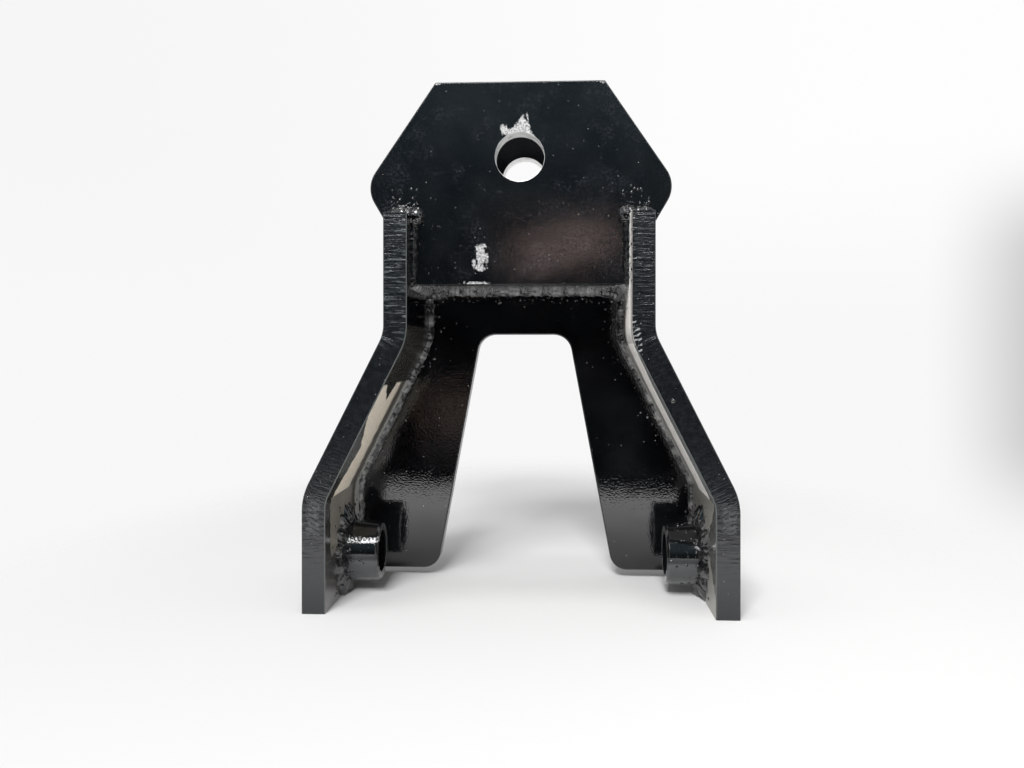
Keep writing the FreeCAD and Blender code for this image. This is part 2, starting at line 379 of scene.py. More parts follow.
def left_outline(tree, depth, z):
    """Above 0 where the left slant still has its film: worn off along its front edge, to either side
    of a corner, and at its top, down into a notch."""
    corner_y, corner_z = -0.033, 0.107
    above, below = 0.46, 1.4
    notch_y, notch_z, film_top = -0.024, 0.140, 0.152
    rising = calc(tree, "MULTIPLY_ADD", z, above, corner_y - corner_z * above)
    falling = calc(tree, "MULTIPLY_ADD", z, -below, corner_y + corner_z * below)
    behind = calc(tree, "SUBTRACT", depth, calc(tree, "MINIMUM", rising, falling))
    from_notch = calc(tree, "SUBTRACT", depth, notch_y)
    forward = calc(tree, "MULTIPLY", from_notch, -0.4)
    backward = calc(tree, "MULTIPLY", from_notch, 2.0)
    notch = calc(tree, "ADD", calc(tree, "MAXIMUM", forward, backward), notch_z)
    notch = calc(tree, "MINIMUM", notch, film_top)
    return calc(tree, "MINIMUM", behind, calc(tree, "SUBTRACT", notch, z))


def foot_outline(tree, depth, z):
    """Above 0 on the upper part of a foot, behind a narrow line along its front edge."""
    line_y, film_low = -0.051, 0.034
    behind = calc(tree, "SUBTRACT", depth, line_y)
    return calc(tree, "MINIMUM", behind, calc(tree, "SUBTRACT", z, film_low))


def right_outline(tree, depth, z):
    """Above 0 on the top and the bottom of the right foot: the welding burnt the film off between."""
    burnt_low, burnt_high = 0.018, 0.066
    above = calc(tree, "MULTIPLY_ADD", depth, 0.9, calc(tree, "SUBTRACT", z, burnt_low))
    below = calc(tree, "MULTIPLY_ADD", depth, 0.8, calc(tree, "SUBTRACT", burnt_high, z))
    return calc(tree, "MAXIMUM", above, below)


# The film is dust and spray, but how pale each stretch is also stands in for light. The left slant and
# the strip on the right slant are painted far paler than the feet and the upright part of the strip, as
# painted sheen. The back of the right neck, under the seat, is darkened as painted shade.
left_slant = film_and_painted_light_enamel("enamel_film_left_slant", [
    (-0.065, dust_and_painted_sheen_tan), (-0.002, dust_and_painted_sheen_tan), (0.006, film_brown), (0.021, film_brown),
    (0.026, film_grey), (0.041, film_grey)], left_outline)
left_foot = film_and_painted_light_enamel("enamel_film_left_foot", [
    (-0.065, (0.200, 0.180, 0.150, 1)), (-0.028, (0.210, 0.190, 0.160, 1)),
    (-0.014, (0.300, 0.280, 0.240, 1)), (0.010, (0.300, 0.280, 0.250, 1)), (0.016, film_brown),
    (0.021, film_brown), (0.025, film_grey), (0.041, film_grey)], foot_outline)
strip_sheen = (1.0, 0.97, 0.93, 1)
pale_strip = film_and_painted_light_enamel("enamel_film_pale_strip", [
    (-0.065, (0.26, 0.245, 0.225, 1)), (0.041, (0.26, 0.245, 0.225, 1))],
    sheen_weight=0.50, sheen_roughness=0.35, sheen_tint=strip_sheen)
dust_and_painted_sheen_strip = film_and_painted_light_enamel("enamel_film_bright_strip", [
    (-0.065, (0.95, 0.92, 0.87, 1)), (0.041, (0.95, 0.92, 0.87, 1))],
    sheen_weight=1.0, sheen_roughness=0.50, sheen_tint=strip_sheen)
strip_front = film_and_painted_light_enamel("enamel_film_strip_front", [
    (-0.065, film_worn), (-0.041, film_worn)], sheen_weight=0.30, sheen_roughness=0.35)
painted_shade_back = film_and_painted_light_enamel("enamel_film_strip_back", [
    (-0.012, (0.20, 0.19, 0.17, 1)), (0.004, film_worn), (0.012, (0.01, 0.01, 0.01, 1)),
    (0.041, (0.01, 0.01, 0.01, 1))], sheen_weight=0.08, sheen_roughness=0.4)
right_slant = film_and_painted_light_enamel("enamel_film_right_slant", [
    (-0.002, (0.40, 0.38, 0.35, 1)), (0.012, film_brown), (0.024, film_brown), (0.030, film_grey),
    (0.041, film_grey)], sheen_weight=0.35, sheen_roughness=0.35)
right_foot = film_and_painted_light_enamel("enamel_film_right_foot", [
    (-0.065, (0.24, 0.225, 0.195, 1)), (0.041, (0.22, 0.21, 0.19, 1))], right_outline,
    sheen_weight=0.05, sheen_roughness=0.4)
# Painted edge highlight: the inner front arris is painted a paler grey.
painted_edge_highlight = new_paint("enamel_worn_arris", base_color=(0.055, 0.062, 0.062, 1), roughness=0.25)[0]
outer_paint = rolled_enamel("enamel_outer_face")
side_cut = cut_enamel("enamel_cut_strip", strip_uv, (430, 55, 1), dashed=True)

# The pale strip down the right plate's inner face moves forward where the plate turns upright. Its
# depth in front and behind, low on the slant and high on the neck, and the heights between.
strip_low, strip_high = 0.150, 0.178
front_edge = (-0.046, -0.060)
back_edge = (0.003, -0.010)
strip_splits = [((0, 0, strip_low), (0, 0, 1)), ((0, 0, strip_high), (0, 0, 1))]
for low_y, high_y in (front_edge, back_edge):
    strip_splits += [((0, low_y, 0), (0, 1, 0)), ((0, high_y, 0), (0, 1, 0)),
                     ((0, low_y, strip_low), (0, strip_high - strip_low, low_y - high_y))]


def strip_depth(edge, z):
    """How deep an edge of the pale strip lies at height z."""
    part = min(1.0, max(0.0, (z - strip_low) / (strip_high - strip_low)))
    return edge[0] + (edge[1] - edge[0]) * part


side_paints = {"strip_slant": dust_and_painted_sheen_strip, "strip_upright": pale_strip, "slant_right": right_slant,
               "strip_front": strip_front, "painted_shade_back": painted_shade_back,
               "foot_right": right_foot, "slant_left": left_slant, "foot_left": left_foot,
               "arris": painted_edge_highlight, "arris_pale": pale_strip, "rolled": outer_paint, "cut": side_cut}

for side, sign in sides:
    def side_face(face):
        """Sorts a side plate's faces into cut edges, outer face and the films, with their painted sheen
        and painted shade, on the inner face.
        """
        normal, middle = face.normal, face.center
        inner = normal.x * sign < -0.2
        # Inner front arrises carry a painted edge highlight, on the right neck in the pale strip's
        # colour.
        if inner and 0.3 < -normal.y < 0.95:
            return "arris_pale" if side == "right" and middle.z > strip_high else "arris"
        if abs(normal.y) > 0.5 or abs(normal.z) > 0.9:
            return "cut"
        if not inner:
            return "rolled"
        slope = abs(normal.z) / math.sin(lean)
        if slope < 0.55 and middle.z < foot_top + 0.004:
            return "foot_" + side
        if side == "left":
            return "slant_left" if slope > 0.05 else "rolled"
        if middle.y < strip_depth(front_edge, middle.z):
            return "strip_front"
        if middle.y < strip_depth(back_edge, middle.z):
            return "strip_slant" if slope > 0.6 else "strip_upright"
        # The back of the right neck, under the seat, is painted dark as painted shade.
        return "slant_right" if middle.z < strip_high else "painted_shade_back"

    side_plate = finished_copy("side_plate_" + side, strip_splits if side == "right" else ())
    lay_strip_map(side_plate)
    paint_faces(side_plate, side_face, side_paints)
    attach(side_plate, "root")
    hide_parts("side_plate_" + side)


# Rear plate. One flame-cut plate that is the rear half of the clevis above and both legs below,
# welded in between the side plates. The pin hole is bored after cutting, so its wall is bare steel.
pin_radius = 0.01675
pin_z = next(m["pos_m"][2] for m in frame["record"]["mounts"] if m["name"] == "hitch_pin_hole")


def bored_steel(name):
    """Bright bored steel: fine rings round the hole, with darker patches of paint mist here and there.
    """
    material, tree, shader, place = new_paint(name, ior=2.5, metallic=0.75)
    rings = noise(tree, stretched(tree, place, (40, 2600, 40)), 1.0, detail=2.0)
    stain = ramp(tree, noise(tree, place, 160.0, detail=4.0), 0.45, 0.72)
    colour = blend(tree, stain, (0.86, 0.86, 0.85, 1), (0.52, 0.51, 0.49, 1))
    rough = ramp(tree, rings, 0.3, 0.7, 0.30, 0.48)
    coat(tree, shader, colour, rough, calc(tree, "MULTIPLY", rings, 0.000012))
    return material


def as_it_lies(tree, place):
    return place


def clevis_face(face):
    """Sorts a clevis plate's faces into its flat sides, its cut outline and the pin hole's wall."""
    middle = face.center
    in_hole = math.hypot(middle.x, middle.z - pin_z) < pin_radius + 0.0002
    if abs(face.normal.y) < 0.995:
        return "bore" if in_hole else "cut"
    return "front" if face.normal.y < 0 else "back"


plate_cut = cut_enamel("enamel_cut_outline", as_it_lies, (430, 55, 430))
bore_metal = bored_steel("bored_steel")
rear_plate = finished_copy("rear_plate")
rear_front = rolled_enamel("enamel_rear_front", gloss=(0.015, 0.05), depth=0.000042, size=760)
rear_paints = {"front": rear_front, "back": outer_paint, "cut": plate_cut, "bore": bore_metal}
paint_faces(rear_plate, clevis_face, rear_paints)
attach(rear_plate, "root")
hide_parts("rear_plate")


# Seat plate. The flat plate that lies across the steps of the side plates and closes the bottom of
# the throat. Only its underside and its top show, both rolled faces.
def seat_face(face):
    return "rolled" if abs(face.normal.z) > 0.7 else "cut"


seat_paint = rolled_enamel("enamel_seat_plate", sheen_weight=0.18, sheen_roughness=0.4)
seat_plate = finished_copy("seat_plate")
paint_faces(seat_plate, seat_face, {"rolled": seat_paint, "cut": plate_cut})
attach(seat_plate, "root")
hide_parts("seat_plate")


# Head plate. The front half of the clevis, welded behind the ribs of the side plates. A flake of
# paint has come off above the pin hole, and a smear of it lower down, where a chain or pin struck.
bare_wedges = [
    ((0.0024, 0.3338), (-0.0075, 0.3215), (0.0105, 0.3180)),
    ((0.0052, 0.3335), (0.0050, 0.3262), (0.0072, 0.3250)),
    ((-0.0128, 0.3262), (-0.0115, 0.3208), (-0.0040, 0.3228)),
]
bare_spots = [
    ((-0.0106, 0.3246), (0.0026, 0.0030)),
    ((-0.0066, 0.3228), (0.0046, 0.0023)),
    ((-0.0264, 0.2392), (0.0032, 0.0062)),
    ((-0.0248, 0.2458), (0.0022, 0.0016)),
    ((-0.0291, 0.2440), (0.0010, 0.0018)),
    ((-0.0270, 0.2308), (0.0034, 0.0025)),
    ((-0.0312, 0.2338), (0.0010, 0.0025)),
    ((-0.0224, 0.2362), (0.0010, 0.0034)),
    ((-0.0290, 0.2200), (0.0062, 0.0012)),
    ((-0.0570, 0.3565), (0.0030, 0.0016)),
    ((0.0560, 0.3567), (0.0024, 0.0014)),
]


def bare_mask(tree, place, ragged=0.0038):
    """One where the paint is gone: inside any of the wedges and spots, with a ragged outline."""
    axes = add(tree, "SeparateXYZ", {0: place})
    x, z = axes.outputs["X"], axes.outputs["Z"]
    depth = None
    for corners in bare_wedges:
        inside = None
        for (x0, z0), (x1, z1) in zip(corners, corners[1:] + corners[:1]):
            run = math.hypot(x1 - x0, z1 - z0)
            part_x = calc(tree, "MULTIPLY", calc(tree, "SUBTRACT", x, x0), (z0 - z1) / run)
            part_z = calc(tree, "MULTIPLY", calc(tree, "SUBTRACT", z, z0), (x1 - x0) / run)
            edge = calc(tree, "ADD", part_x, part_z)
            inside = edge if inside is None else calc(tree, "MINIMUM", inside, edge)
        depth = inside if depth is None else calc(tree, "MAXIMUM", depth, inside)
    for (x0, z0), (wide, high) in bare_spots:
        part_x = calc(tree, "DIVIDE", calc(tree, "SUBTRACT", x, x0), wide)
        part_z = calc(tree, "DIVIDE", calc(tree, "SUBTRACT", z, z0), high)
        reach = add(tree, "CombineXYZ", {0: part_x, 1: part_z}).outputs[0]
        reach = add(tree, "VectorMath", {0: reach}, operation="LENGTH").outputs["Value"]
        inside = calc(tree, "MULTIPLY_ADD", reach, -min(wide, high), min(wide, high))
        depth = calc(tree, "MAXIMUM", depth, inside)
    torn = noise(tree, place, 520.0, detail=5.0, roughness=0.75)
    wobble = calc(tree, "MULTIPLY_ADD", torn, ragged * 2, -ragged)
    return ramp(tree, calc(tree, "ADD", depth, wobble), -0.0001, 0.0001)


def chipped_enamel(name):
    """The rolled enamel with pale bare patches where the paint is gone."""
    material, tree, shader, place = new_paint(name)
    paint = clouded(tree, place, 28.0)
    haze = ramp(tree, noise(tree, place, 42.0, detail=6.0, roughness=0.7), 0.47, 0.70)
    mottle = ramp(tree, noise(tree, place, 480.0, detail=3.0, roughness=0.65), 0.44, 0.62)
    paint = blend(tree, calc(tree, "MULTIPLY", haze, mottle), paint, (0.020, 0.021, 0.026, 1))
    paint = dusted(tree, place, paint, (0.30, 0.30, 0.29, 1), 300.0, 0.090)
    grit = ramp(tree, noise(tree, place, 950.0, detail=1.0), 0.34, 0.62)
    metal = blend(tree, grit, (0.12, 0.12, 0.12, 1), (0.50, 0.50, 0.50, 1))
    bare = bare_mask(tree, place)
    colour = blend(tree, bare, paint, metal)
    rough = ramp(tree, bare, 0.0, 1.0, 0.014, 0.55)
    step = calc(tree, "MULTIPLY", bare, -0.00012)
    height = calc(tree, "ADD", orange_peel(tree, place, peel_depth * 1.2), step)
    coat(tree, shader, colour, rough, height)
    return material


head_front = chipped_enamel("enamel_head_front")
head_plate = finished_copy("head_plate")
head_paints = {"front": head_front, "back": outer_paint, "cut": plate_cut, "bore": bore_metal}
paint_faces(head_plate, clevis_face, head_paints)
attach(head_plate, "root")
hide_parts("head_plate")


# Pivot bushings. Lengths of thick turned steel tube set through the side plates at their feet,
# chamfered at the inner end and reamed for the pivot pin. They are enamelled inside and out.
bushing_low, bushing_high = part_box("bushing_right")
bushing_y = (bushing_low.y + bushing_high.y) / 2
bushing_z = (bushing_low.z + bushing_high.z) / 2
bushing_radius = (bushing_high.z - bushing_low.z) / 2

# Heights from the bushings' middle: where the painted glint begins and ends, and where the grey painted
# floor reflection on the underside begins.
glint_low = (0.0080, 0.0100)
glint_high = (0.0142, 0.0118)
reflected_floor_heights = (-0.0012, -0.0042)
painted_floor_reflection_grey = (0.062, 0.066, 0.068, 1)
painted_glint_white = (0.88, 0.90, 0.90, 1)


def painted_glint_cells(tree, place):
    """One on the painted glint on the left bushing's front: a band of crackled cells painted white that
    stands in for a lamp's highlight.
    """
    axes = add(tree, "SeparateXYZ", {0: place})
    side = calc(tree, "LESS_THAN", axes.outputs["X"], 0.0)
    front = calc(tree, "LESS_THAN", axes.outputs["Y"], bushing_y)
    low = ramp(tree, axes.outputs["Z"], *(bushing_z + limit for limit in glint_low))
    high = ramp(tree, axes.outputs["Z"], *(bushing_z + limit for limit in glint_high))
    where = calc(tree, "MULTIPLY", side, front)
    where = calc(tree, "MULTIPLY", where, calc(tree, "MULTIPLY", low, high))
    cells = noise(tree, stretched(tree, place, (680, 1100, 1100)), 1.0, detail=2.0, roughness=0.6)
    return ramp(tree, calc(tree, "MULTIPLY_ADD", where, 0.30, cells), 0.76, 0.84)


def turned_enamel(name):
    """Enamel over turned tube: faint rings, a grey painted reflection of the floor on the underside and
    a painted glint of crackled cells on the left one.
    """
    material, tree, shader, place = new_paint(name, ior=1.5)
    rings = noise(tree, stretched(tree, place, (1500, 25, 25)), 1.0, detail=2.0)
    colour = dusted(tree, place, clouded(tree, place, 60.0))
    z = add(tree, "SeparateXYZ", {0: place}).outputs["Z"]
    # Painted reflection: the underside is painted grey for the floor it mirrors.
    under = ramp(tree, z, *(bushing_z + limit for limit in reflected_floor_heights))
    colour = blend(tree, under, colour, painted_floor_reflection_grey)
    # Painted highlight: the left one's glint is painted white, in crackled cells that also rise and
    # roughen.
    glint_mask = painted_glint_cells(tree, place)
    colour = blend(tree, glint_mask, colour, painted_glint_white)
    gloss = ramp(tree, noise(tree, place, 80.0, detail=4.0), 0.35, 0.75, 0.03, 0.10)
    rough = calc(tree, "MULTIPLY_ADD", glint_mask, 0.15, gloss)
    ringed = calc(tree, "MULTIPLY_ADD", rings, 0.000006, calc(tree, "MULTIPLY", glint_mask, 0.0002))
    height = calc(tree, "ADD", orange_peel(tree, place, peel_depth * 1.5), ringed)
    coat(tree, shader, colour, rough, height)
    return material


def bushing_face(face):
    """Sorts a bushing's faces into its bore and all the rest."""
    reach = math.hypot(face.center.y - bushing_y, face.center.z - bushing_z)
    return "bore" if abs(face.normal.x) < 0.5 and reach < bushing_radius - 0.003 else "tube"


tube_paint = turned_enamel("enamel_turned_tube")
bore_paint = rolled_enamel("enamel_bushing_bore")
for side in ("right", "left"):
    bushing = finished_copy("bushing_" + side)
    paint_faces(bushing, bushing_face, {"tube": tube_paint, "bore": bore_paint})
    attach(bushing, "root")
    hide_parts("bushing_" + side)


# Long weld beads. Fillet welds laid by hand down the joint of the rear plate and each side plate,
# in front and behind, one ripple over the last, with spatter thrown on the plates beside them.
ripple_pitch = 0.0030
long_leg = 0.0036
bead_crown = 0.0006
voxel = 0.0006
lump_size = 0.0026
table_gap = 0.0010
smallest_drop = 0.00025
rear_front_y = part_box("rear_plate")[0].y
rear_back_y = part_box("rear_plate")[1].y
seat_under_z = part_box("seat_plate")[0].z
leg_end_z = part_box("rear_plate")[0].z

# How far beads stop short of a corner that another bead fills, and of the end of a plate.
corner_gap = 0.002
end_gap = 0.003


def inner_face(z):
    """How far a side plate's inner face stands from the middle at height z, and its lean there."""
    upper_start = neck_bottom + outer_bend * math.tan(lean / 2)
    upper_end = upper_start - outer_bend * math.sin(lean)
    lower_end = foot_top - inner_bend * math.tan(lean / 2)
    lower_start = lower_end + inner_bend * math.sin(lean)
    if z >= upper_start:
        return neck_x, 0.0
    if z > upper_end:
        turn = math.asin((upper_start - z) / outer_bend)
        return neck_x + outer_bend * (1 - math.cos(turn)), turn
    if z >= lower_start:
        return neck_x + (neck_bottom - z) * math.tan(lean), lean
    if z > lower_end:
        turn = math.asin((z - lower_end) / inner_bend)
        return foot_x - inner_bend * (1 - math.cos(turn)), turn
    return foot_x, 0.0


def side_joint(sign, y, away, top, bottom, pitch):
    """Stations down the joint of a side plate with a plate whose face is at y."""
    stations = []
    z = top
    while z > bottom:
        x, tilt = inner_face(z)
        along = Vector((sign * math.sin(tilt), 0, -math.cos(tilt)))
        inward = Vector((-sign * math.cos(tilt), 0, -math.sin(tilt)))
        stations.append((Vector((sign * x, y, z)), along, inward, Vector((0, away, 0))))
        z -= pitch * math.cos(tilt)
    return stations


def shaped(size, move=None):
    """The primitive that was just added, stretched to a size and moved in its own mesh."""
    piece = bpy.context.active_object
    bpy.ops.object.mode_set(mode="EDIT")
    bpy.ops.mesh.select_all(action="SELECT")
    bpy.ops.transform.resize(value=size)
    if move:
        bpy.ops.transform.translate(value=move)
    bpy.ops.object.mode_set(mode="OBJECT")
    return piece


def one_ripple(leg, crown, length):
    """The scale that one pulse of a weld leaves, flattened to the bead's section."""
    half_leg = leg / math.sqrt(2)
    throat = half_leg + crown
    width = half_leg / math.sqrt(1 - (half_leg / throat) ** 2)
    bpy.ops.mesh.primitive_uv_sphere_add(segments=20, ring_count=12, radius=1.0)
    return shaped((throat, width, length))


def one_droplet():
    """A drop of spatter, flattened where it landed."""
    bpy.ops.mesh.primitive_ico_sphere_add(subdivisions=2, radius=1.0)
    droplet = shaped((1.0, 1.0, 0.75))
    bpy.ops.object.shade_smooth()
    return droplet


def turned_to(x_axis, z_axis):
    """The matrix that turns a piece's X and Z to these directions."""
    y_axis = z_axis.cross(x_axis).normalized()
    return Matrix((x_axis, y_axis, z_axis)).transposed().to_4x4()


def joined(name, source, matrices):
    """Copies of the source at each matrix, each with its own mesh, joined as one object."""
    copies = []
    for matrix in matrices:
        mesh = source.data.copy()
        mesh.transform(matrix)
        copies.append(placed(name, mesh))
    bpy.ops.object.select_all(action="DESELECT")
    for copy in copies:
        copy.select_set(True)
    bpy.context.view_layer.objects.active = copies[0]
    bpy.ops.object.join()
    return bpy.context.active_object


def lay_bead(node, stations, leg, seed, length=0.0032, crown=bead_crown, drops=24, reach=0.014,
             flat=1.0, uneven=0.10, rough=0.0011, largest=0.0009, extra=(), paint=None, inset=0.0,
             floor=0.0, roof=1.0):
    """Lays ripples along the stations, melts them into one bead and adds its spatter, which lands on
    both faces, between the heights floor and roof and behind the side plates' front edges. A bead
    with a flat below 1 leans to the second face, off which its stations stand by inset. A bead with
    a floor is ground off just above the table. Extra drops are given by place, normal and size."""
    chance = random.Random(seed)
    ripple = one_ripple(leg, crown, length)
    places = []
    for spot, along, face_a, face_b in stations:
        outward = (face_a * flat + face_b).normalized()
        shift = outward * chance.uniform(-0.0003, 0.0003) + along * chance.uniform(-0.0005, 0.0005)
        grow = chance.uniform(1 - uneven, 1 + uneven)
        tip = Matrix.Rotation(math.radians(chance.uniform(12, 34)), 4, "Y")
        sway = Matrix.Rotation(math.radians(chance.uniform(-8, 14)), 4, "X")
        turn = turned_to(outward, along)
        places.append(Matrix.Translation(spot + shift) @ turn @ sway @ tip @ Matrix.Scale(grow, 4))
    bead = joined(node + "_bead", ripple, places)
    bpy.data.objects.remove(ripple)
    apply_modifier(bead, "melted", "REMESH", mode="VOXEL", voxel_size=voxel, use_smooth_shade=True)
    lumps = bpy.data.textures.new(node + "_lumps", "CLOUDS")
    lumps.noise_scale = lump_size
    apply_modifier(bead, "lumps", "DISPLACE", texture=lumps, strength=rough, mid_level=0.5)
    if floor:
        bpy.ops.object.mode_set(mode="EDIT")
        bpy.ops.mesh.select_all(action="SELECT")
        bpy.ops.mesh.bisect(plane_co=(0, 0, table_gap), plane_no=(0, 0, 1), use_fill=True,
                            clear_inner=True)
        bpy.ops.object.mode_set(mode="OBJECT")
        apply_modifier(bead, "closed", "REMESH", mode="VOXEL", voxel_size=voxel, use_smooth_shade=True)
    droplet = one_droplet()
    places = []
    for number in range(drops):
        spot, along, face_a, face_b = chance.choice(stations)
        on_first = chance.random() < 0.5
        way, up = (face_a, face_b) if on_first else (face_b, face_a)
        size = smallest_drop + (largest - smallest_drop) * chance.random() ** 1.6
        off = leg * 0.8 + reach * chance.random() ** 2
        landed = spot + way * off + along * chance.uniform(-0.002, 0.002)
        if not on_first:
            landed -= face_a * inset
        if landed.y < side_low.y or not floor <= landed.z <= roof:
            continue
        places.append(Matrix.Translation(landed) @ turned_to(way, up) @ Matrix.Scale(size, 4))
    for landed, up, size in extra:
        turn = turned_to(Vector((0, 0, 1)).cross(up).normalized(), up)
        places.append(Matrix.Translation(landed) @ turn @ Matrix.Scale(size, 4))
    spatter = joined(node + "_spatter", droplet, places)
    bpy.data.objects.remove(droplet)
    bpy.ops.object.select_all(action="DESELECT")
    spatter.select_set(True)
    bead.select_set(True)
    bpy.context.view_layer.objects.active = bead
    bpy.ops.object.join()
    bead.data.materials.clear()
    bead.data.materials.append(paint or bead_paint)
    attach(bead, "root")
    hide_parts(node)
    return bead


def bead_enamel(name, dusty, crust=0.00030, **constants):
    """Thick enamel over a rough bead, dulled by dust."""
    material, tree, shader, place = new_paint(name, **constants)
    colour = dusted(tree, place, clouded(tree, place, 150.0, dusty, 0.40, 0.72))
    rough = ramp(tree, noise(tree, place, 260.0, detail=3.0), 0.35, 0.75, 0.03, 0.16)
    bumps = noise(tree, place, 480.0, detail=3.0, roughness=0.6)
    coat(tree, shader, colour, rough, calc(tree, "MULTIPLY", bumps, crust))
    return material


bead_paint = bead_enamel("enamel_bead", (0.32, 0.32, 0.31, 1), ior=1.75, sheen_weight=0.80,
                         sheen_roughness=0.4)
wet_bead_paint = bead_enamel("enamel_bead_wet", (0.012, 0.012, 0.012, 1), crust=0.00012, ior=1.8,
                             sheen_weight=0.04, sheen_roughness=0.4)
black_bead_paint = bead_enamel("enamel_bead_black", (0.006, 0.006, 0.006, 1), ior=1.45)
top, bottom = seat_under_z - corner_gap, leg_end_z + end_gap
for number, (side, sign) in enumerate(sides):
    front = side_joint(sign, rear_front_y, -1, top, bottom, ripple_pitch)
    lay_bead("weld_leg_" + side, front, long_leg, 10 + number, drops=150, reach=0.010)
    behind = side_joint(sign, rear_back_y, 1, top, bottom, ripple_pitch)
    lay_bead("weld_back_" + side, behind, long_leg, 20 + number, drops=40, reach=0.003)


# Upright and cap beads. A fillet weld between each rib and the head plate, which turns over the
# rib's top end and is built up there.
head_leg = 0.0042
cap_leg = 0.007
cap_pitch = 0.0050
cap_overhang = 0.005
cap_inset = 0.0015
head_front_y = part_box("head_plate")[0].y
rib_top_z = side_high.z


def straight_joint(start, end, face_a, face_b, pitch):
    """Stations along a straight joint between two flat faces."""
    run = Vector(end) - Vector(start)
    count = max(2, round(run.length / pitch))
    along = run.normalized()
    spots = [Vector(start) + run * (step + 0.5) / count for step in range(count)]
    return [(spot, along, Vector(face_a), Vector(face_b)) for spot in spots]


for number, (side, sign) in enumerate(sides):
    foot = (sign * neck_x, head_front_y, seat_under_z + 0.001)
    top = (sign * neck_x, head_front_y, rib_top_z - 0.001)
    upright = straight_joint(foot, top, (-sign, 0, 0), (0, -1, 0), ripple_pitch)
    lay_bead("weld_head_" + side, upright, head_leg, 30 + number, length=0.0040,
             drops=120 if side == "right" else 50, reach=0.02, paint=black_bead_paint)
    start = (sign * (neck_x - cap_overhang), head_front_y, rib_top_z)
    end = (sign * (neck_x + plate_thk - cap_inset), head_front_y, rib_top_z)
    over = straight_joint(start, end, (0, 0, 1), (0, -1, 0), cap_pitch)
    lay_bead("weld_cap_" + side, over, cap_leg, 40 + number, length=0.0062, crown=0.0018, drops=60,
             uneven=0.16, rough=0.0016, largest=0.0012, paint=wet_bead_paint)


# Seat beads. Fillet welds under the seat plate, along the side plates and across the rear plate,
# and on top of it in the throat, along both clevis plates.
seat_leg = 0.0038
throat_leg = 0.006
seat_top_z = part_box("seat_plate")[1].z
throat_front_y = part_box("seat_plate")[0].y
half_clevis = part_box("seat_plate")[1].x

for number, (side, sign) in enumerate(sides):
    start = (sign * neck_x, head_front_y + end_gap, seat_under_z)
    end = (sign * neck_x, rear_front_y - corner_gap, seat_under_z)
    under = straight_joint(start, end, (-sign, 0, 0), (0, 0, -1), ripple_pitch)
    lay_bead("weld_seat_side_" + side, under, long_leg, 50 + number, drops=30)

start = (-neck_x + corner_gap, rear_front_y, seat_under_z)
end = (neck_x - corner_gap, rear_front_y, seat_under_z)
across = straight_joint(start, end, (0, 0, -1), (0, -1, 0), ripple_pitch)

# The bead hangs lower towards its ends, where it meets the side plates' beads.
corner_run = 0.018
corner_drop = 0.0045
for spot, along, face_a, face_b in across:
    into = max(0.0, abs(spot.x) - (neck_x - corner_run)) / corner_run
    spot.z -= corner_drop * into ** 2
lay_bead("weld_seat_rear", across, seat_leg, 60, drops=170, reach=0.006, rough=0.0017, largest=0.0008)

for number, (name, y, away) in enumerate((("front", throat_front_y, 1), ("rear", rear_front_y, -1))):
    start = (-half_clevis + end_gap, y, seat_top_z)
    end = (half_clevis - end_gap, y, seat_top_z)
    inside = straight_joint(start, end, (0, 0, 1), (0, away, 0), ripple_pitch)
    lay_bead("weld_throat_" + name, inside, throat_leg, 70 + number, drops=40, reach=0.02)


# Ring beads. A heavy fillet weld round each bushing on the side plate's inner face, laid in short
# steps while the hitch was turned over, so its scales are long and the plate round it is spattered.
ring_leg = 0.0068
ring_offset = 0.0026
ring_steps = 15

# One large drop of spatter, on the slant of the right side plate's front edge.
edge_drop = (Vector((0.1004, side_low.y, 0.1419)), Vector((0, -1, 0)), 0.0018)

for number, (side, sign) in enumerate(sides):
    ring = []
    for step in range(ring_steps):
        angle = 2 * math.pi * step / ring_steps
        outward = Vector((0, math.cos(angle), math.sin(angle)))
        along = Vector((0, -math.sin(angle), math.cos(angle)))
        spot = Vector((sign * foot_x, bushing_y, bushing_z)) + outward * (bushing_radius + ring_offset)
        ring.append((spot, along, outward, Vector((-sign, 0, 0))))
    lay_bead("weld_ring_" + side, ring, ring_leg, 80 + number, length=0.0058, crown=0.0004, drops=220,
             reach=0.016, flat=0.3, uneven=0.2, rough=0.0010, largest=0.0013, paint=wet_bead_paint,
             inset=ring_offset, floor=0.003, roof=foot_top - 0.008,
             extra=[edge_drop] if side == "right" else ())


# Stage. A white table top, whose front edge lies a little way before the hitch and runs a little askew,
# in a room that is white behind. The paper is painted a little greyer towards the left as painted shade,
# and in reflections it glows brightest in front, a painted pool of light.
table_corner = Vector((0.0, -0.395, 0.0))
table_skew = math.radians(11.5)
sheet_size = 6.0
white_from, white_to = 0.42, 0.85
painted_shade_left_white = (0.75, 0.75, 0.75, 1)
right_white = (0.825, 0.825, 0.82, 1)


def seen_rays(tree, path):
    """One for rays that show a background: straight, mirrored or through glass."""
    seen = calc(tree, "MAXIMUM", path.outputs["Is Camera Ray"], path.outputs["Is Glossy Ray"])
    return calc(tree, "MAXIMUM", seen, path.outputs["Is Transmission Ray"])


